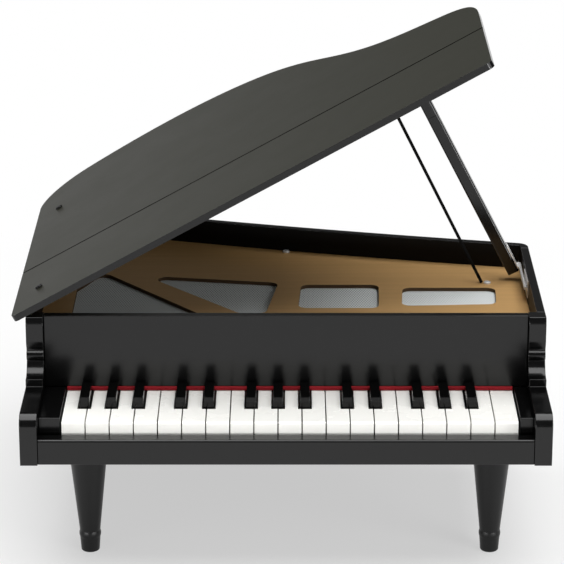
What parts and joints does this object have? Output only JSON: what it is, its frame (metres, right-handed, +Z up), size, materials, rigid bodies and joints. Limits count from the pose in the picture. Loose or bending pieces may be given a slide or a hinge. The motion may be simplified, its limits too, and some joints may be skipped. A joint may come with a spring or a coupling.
{
  "type": "toy grand piano",
  "caption": "Small toy grand piano on three turned legs, with hinged lid on a folding prop stick, pivoting keys, hammers and tuned pipes under a windowed plate.",
  "frame": {"origin": "middle of the footprint with the lid open, on the floor", "axes": "+Z up, +Y from the player to the tail, +X to the treble side"},
  "size_m": [0.437, 0.44, 0.4178],
  "materials": {
    "case_lacquer": "satin black lacquer",
    "lid_lacquer": "satin black lacquer",
    "bare_wood": "bare",
    "key_white": "gloss",
    "key_black": "gloss",
    "red_felt": "felt",
    "gold_plate": "satin gold paint",
    "net": "woven",
    "steel": "bright",
    "dark_steel": "satin black",
    "nickel": "nickel plate",
    "pipe_aluminium": "bright",
    "cord": "braid"
  },
  "bodies": {
    "case": {"bent_side_panel": "case_lacquer", "bottom_board": "case_lacquer", "fallboard": "case_lacquer", "felt_strip": "red_felt", "frame_plate": "gold_plate", "front_rail": "case_lacquer", "hinge_pins": "nickel", "inner_battens": "bare_wood", "key_blocks": "case_lacquer", "key_felts": "red_felt", "key_pivot_rod": "steel", "key_rails": "bare_wood", "left_arm": "case_lacquer", "left_side_panel": "case_lacquer", "legs": "case_lacquer", "lid_cord": "cord", "lid_hinge_case_leaves": "nickel", "plate_screws": "steel", "prop_hinge_wall_leaf": "nickel", "right_arm": "case_lacquer", "right_side_panel": "case_lacquer", "speaker_net": "net", "tone_pipes": "pipe_aluminium"},
    "lid": {"lid": "lid_lacquer", "lid_screws": "dark_steel", "lid_hinge_lid_leaves": "nickel"},
    "prop": {"prop": "case_lacquer", "prop_hinge_prop_leaf": "nickel"},
    "black_key_01": {"black_key_01": "key_black"},
    "black_key_02": {"black_key_02": "key_black"},
    "black_key_03": {"black_key_03": "key_black"},
    "black_key_04": {"black_key_04": "key_black"},
    "black_key_05": {"black_key_05": "key_black"},
    "black_key_06": {"black_key_06": "key_black"},
    "black_key_07": {"black_key_07": "key_black"},
    "black_key_08": {"black_key_08": "key_black"},
    "black_key_09": {"black_key_09": "key_black"},
    "black_key_10": {"black_key_10": "key_black"},
    "black_key_11": {"black_key_11": "key_black"},
    "black_key_12": {"black_key_12": "key_black"},
    "black_key_13": {"black_key_13": "key_black"},
    "white_key_01": {"white_key_01": "key_white"},
    "white_key_02": {"white_key_02": "key_white"},
    "white_key_03": {"white_key_03": "key_white"},
    "white_key_04": {"white_key_04": "key_white"},
    "white_key_05": {"white_key_05": "key_white"},
    "white_key_06": {"white_key_06": "key_white"},
    "white_key_07": {"white_key_07": "key_white"},
    "white_key_08": {"white_key_08": "key_white"},
    "white_key_09": {"white_key_09": "key_white"},
    "white_key_10": {"white_key_10": "key_white"},
    "white_key_11": {"white_key_11": "key_white"},
    "white_key_12": {"white_key_12": "key_white"},
    "white_key_13": {"white_key_13": "key_white"},
    "white_key_14": {"white_key_14": "key_white"},
    "white_key_15": {"white_key_15": "key_white"},
    "white_key_16": {"white_key_16": "key_white"},
    "white_key_17": {"white_key_17": "key_white"},
    "white_key_18": {"white_key_18": "key_white"},
    "white_key_19": {"white_key_19": "key_white"}
  },
  "joints": [
    {"name": "lid_hinge", "type": "hinge", "parent": "case", "child": "lid", "pos_m": [-0.20654, 0.005, 0.20265], "axis": [0, 1, 0], "range_deg": [0, 29.1], "deforming": ["lid_cord"]},
    {"name": "prop_hinge", "type": "hinge", "parent": "case", "child": "prop", "pos_m": [0.20906, 0.016, 0.1945], "axis": [0, 1, 0], "range_deg": [-62.6, 0]},
    {"name": "black_key_01_pivot", "type": "hinge", "parent": "case", "child": "black_key_01", "pos_m": [0.00919, -0.102, 0.13], "axis": [1, 0, 0], "range_deg": [0, 3.2], "stiffness_Nm_per_rad": 0.3, "springref_deg": -5.73},
    {"name": "black_key_02_pivot", "type": "hinge", "parent": "case", "child": "black_key_02", "pos_m": [0.00919, -0.102, 0.13], "axis": [1, 0, 0], "range_deg": [0, 3.2], "stiffness_Nm_per_rad": 0.3, "springref_deg": -5.73},
    {"name": "black_key_03_pivot", "type": "hinge", "parent": "case", "child": "black_key_03", "pos_m": [0.00919, -0.102, 0.13], "axis": [1, 0, 0], "range_deg": [0, 3.2], "stiffness_Nm_per_rad": 0.3, "springref_deg": -5.73},
    {"name": "black_key_04_pivot", "type": "hinge", "parent": "case", "child": "black_key_04", "pos_m": [0.00919, -0.102, 0.13], "axis": [1, 0, 0], "range_deg": [0, 3.2], "stiffness_Nm_per_rad": 0.3, "springref_deg": -5.73},
    {"name": "black_key_05_pivot", "type": "hinge", "parent": "case", "child": "black_key_05", "pos_m": [0.00919, -0.102, 0.13], "axis": [1, 0, 0], "range_deg": [0, 3.2], "stiffness_Nm_per_rad": 0.3, "springref_deg": -5.73},
    {"name": "black_key_06_pivot", "type": "hinge", "parent": "case", "child": "black_key_06", "pos_m": [0.00919, -0.102, 0.13], "axis": [1, 0, 0], "range_deg": [0, 3.2], "stiffness_Nm_per_rad": 0.3, "springref_deg": -5.73},
    {"name": "black_key_07_pivot", "type": "hinge", "parent": "case", "child": "black_key_07", "pos_m": [0.00919, -0.102, 0.13], "axis": [1, 0, 0], "range_deg": [0, 3.2], "stiffness_Nm_per_rad": 0.3, "springref_deg": -5.73},
    {"name": "black_key_08_pivot", "type": "hinge", "parent": "case", "child": "black_key_08", "pos_m": [0.00919, -0.102, 0.13], "axis": [1, 0, 0], "range_deg": [0, 3.2], "stiffness_Nm_per_rad": 0.3, "springref_deg": -5.73},
    {"name": "black_key_09_pivot", "type": "hinge", "parent": "case", "child": "black_key_09", "pos_m": [0.00919, -0.102, 0.13], "axis": [1, 0, 0], "range_deg": [0, 3.2], "stiffness_Nm_per_rad": 0.3, "springref_deg": -5.73},
    {"name": "black_key_10_pivot", "type": "hinge", "parent": "case", "child": "black_key_10", "pos_m": [0.00919, -0.102, 0.13], "axis": [1, 0, 0], "range_deg": [0, 3.2], "stiffness_Nm_per_rad": 0.3, "springref_deg": -5.73},
    {"name": "black_key_11_pivot", "type": "hinge", "parent": "case", "child": "black_key_11", "pos_m": [0.00919, -0.102, 0.13], "axis": [1, 0, 0], "range_deg": [0, 3.2], "stiffness_Nm_per_rad": 0.3, "springref_deg": -5.73},
    {"name": "black_key_12_pivot", "type": "hinge", "parent": "case", "child": "black_key_12", "pos_m": [0.00919, -0.102, 0.13], "axis": [1, 0, 0], "range_deg": [0, 3.2], "stiffness_Nm_per_rad": 0.3, "springref_deg": -5.73},
    {"name": "black_key_13_pivot", "type": "hinge", "parent": "case", "child": "black_key_13", "pos_m": [0.00919, -0.102, 0.13], "axis": [1, 0, 0], "range_deg": [0, 3.2], "stiffness_Nm_per_rad": 0.3, "springref_deg": -5.73},
    {"name": "white_key_01_pivot", "type": "hinge", "parent": "case", "child": "white_key_01", "pos_m": [0.00919, -0.102, 0.13], "axis": [1, 0, 0], "range_deg": [0, 3.2], "stiffness_Nm_per_rad": 0.3, "springref_deg": -5.73},
    {"name": "white_key_02_pivot", "type": "hinge", "parent": "case", "child": "white_key_02", "pos_m": [0.00919, -0.102, 0.13], "axis": [1, 0, 0], "range_deg": [0, 3.2], "stiffness_Nm_per_rad": 0.3, "springref_deg": -5.73},
    {"name": "white_key_03_pivot", "type": "hinge", "parent": "case", "child": "white_key_03", "pos_m": [0.00919, -0.102, 0.13], "axis": [1, 0, 0], "range_deg": [0, 3.2], "stiffness_Nm_per_rad": 0.3, "springref_deg": -5.73},
    {"name": "white_key_04_pivot", "type": "hinge", "parent": "case", "child": "white_key_04", "pos_m": [0.00919, -0.102, 0.13], "axis": [1, 0, 0], "range_deg": [0, 3.2], "stiffness_Nm_per_rad": 0.3, "springref_deg": -5.73},
    {"name": "white_key_05_pivot", "type": "hinge", "parent": "case", "child": "white_key_05", "pos_m": [0.00919, -0.102, 0.13], "axis": [1, 0, 0], "range_deg": [0, 3.2], "stiffness_Nm_per_rad": 0.3, "springref_deg": -5.73},
    {"name": "white_key_06_pivot", "type": "hinge", "parent": "case", "child": "white_key_06", "pos_m": [0.00919, -0.102, 0.13], "axis": [1, 0, 0], "range_deg": [0, 3.2], "stiffness_Nm_per_rad": 0.3, "springref_deg": -5.73},
    {"name": "white_key_07_pivot", "type": "hinge", "parent": "case", "child": "white_key_07", "pos_m": [0.00919, -0.102, 0.13], "axis": [1, 0, 0], "range_deg": [0, 3.2], "stiffness_Nm_per_rad": 0.3, "springref_deg": -5.73},
    {"name": "white_key_08_pivot", "type": "hinge", "parent": "case", "child": "white_key_08", "pos_m": [0.00919, -0.102, 0.13], "axis": [1, 0, 0], "range_deg": [0, 3.2], "stiffness_Nm_per_rad": 0.3, "springref_deg": -5.73},
    {"name": "white_key_09_pivot", "type": "hinge", "parent": "case", "child": "white_key_09", "pos_m": [0.00919, -0.102, 0.13], "axis": [1, 0, 0], "range_deg": [0, 3.2], "stiffness_Nm_per_rad": 0.3, "springref_deg": -5.73},
    {"name": "white_key_10_pivot", "type": "hinge", "parent": "case", "child": "white_key_10", "pos_m": [0.00919, -0.102, 0.13], "axis": [1, 0, 0], "range_deg": [0, 3.2], "stiffness_Nm_per_rad": 0.3, "springref_deg": -5.73},
    {"name": "white_key_11_pivot", "type": "hinge", "parent": "case", "child": "white_key_11", "pos_m": [0.00919, -0.102, 0.13], "axis": [1, 0, 0], "range_deg": [0, 3.2], "stiffness_Nm_per_rad": 0.3, "springref_deg": -5.73},
    {"name": "white_key_12_pivot", "type": "hinge", "parent": "case", "child": "white_key_12", "pos_m": [0.00919, -0.102, 0.13], "axis": [1, 0, 0], "range_deg": [0, 3.2], "stiffness_Nm_per_rad": 0.3, "springref_deg": -5.73},
    {"name": "white_key_13_pivot", "type": "hinge", "parent": "case", "child": "white_key_13", "pos_m": [0.00919, -0.102, 0.13], "axis": [1, 0, 0], "range_deg": [0, 3.2], "stiffness_Nm_per_rad": 0.3, "springref_deg": -5.73},
    {"name": "white_key_14_pivot", "type": "hinge", "parent": "case", "child": "white_key_14", "pos_m": [0.00919, -0.102, 0.13], "axis": [1, 0, 0], "range_deg": [0, 3.2], "stiffness_Nm_per_rad": 0.3, "springref_deg": -5.73},
    {"name": "white_key_15_pivot", "type": "hinge", "parent": "case", "child": "white_key_15", "pos_m": [0.00919, -0.102, 0.13], "axis": [1, 0, 0], "range_deg": [0, 3.2], "stiffness_Nm_per_rad": 0.3, "springref_deg": -5.73},
    {"name": "white_key_16_pivot", "type": "hinge", "parent": "case", "child": "white_key_16", "pos_m": [0.00919, -0.102, 0.13], "axis": [1, 0, 0], "range_deg": [0, 3.2], "stiffness_Nm_per_rad": 0.3, "springref_deg": -5.73},
    {"name": "white_key_17_pivot", "type": "hinge", "parent": "case", "child": "white_key_17", "pos_m": [0.00919, -0.102, 0.13], "axis": [1, 0, 0], "range_deg": [0, 3.2], "stiffness_Nm_per_rad": 0.3, "springref_deg": -5.73},
    {"name": "white_key_18_pivot", "type": "hinge", "parent": "case", "child": "white_key_18", "pos_m": [0.00919, -0.102, 0.13], "axis": [1, 0, 0], "range_deg": [0, 3.2], "stiffness_Nm_per_rad": 0.3, "springref_deg": -5.73},
    {"name": "white_key_19_pivot", "type": "hinge", "parent": "case", "child": "white_key_19", "pos_m": [0.00919, -0.102, 0.13], "axis": [1, 0, 0], "range_deg": [0, 3.2], "stiffness_Nm_per_rad": 0.3, "springref_deg": -5.73}
  ],
  "couplings": [
    {"joint": "prop_hinge", "follows": "lid_hinge", "ratio": -2.1512}
  ]
}
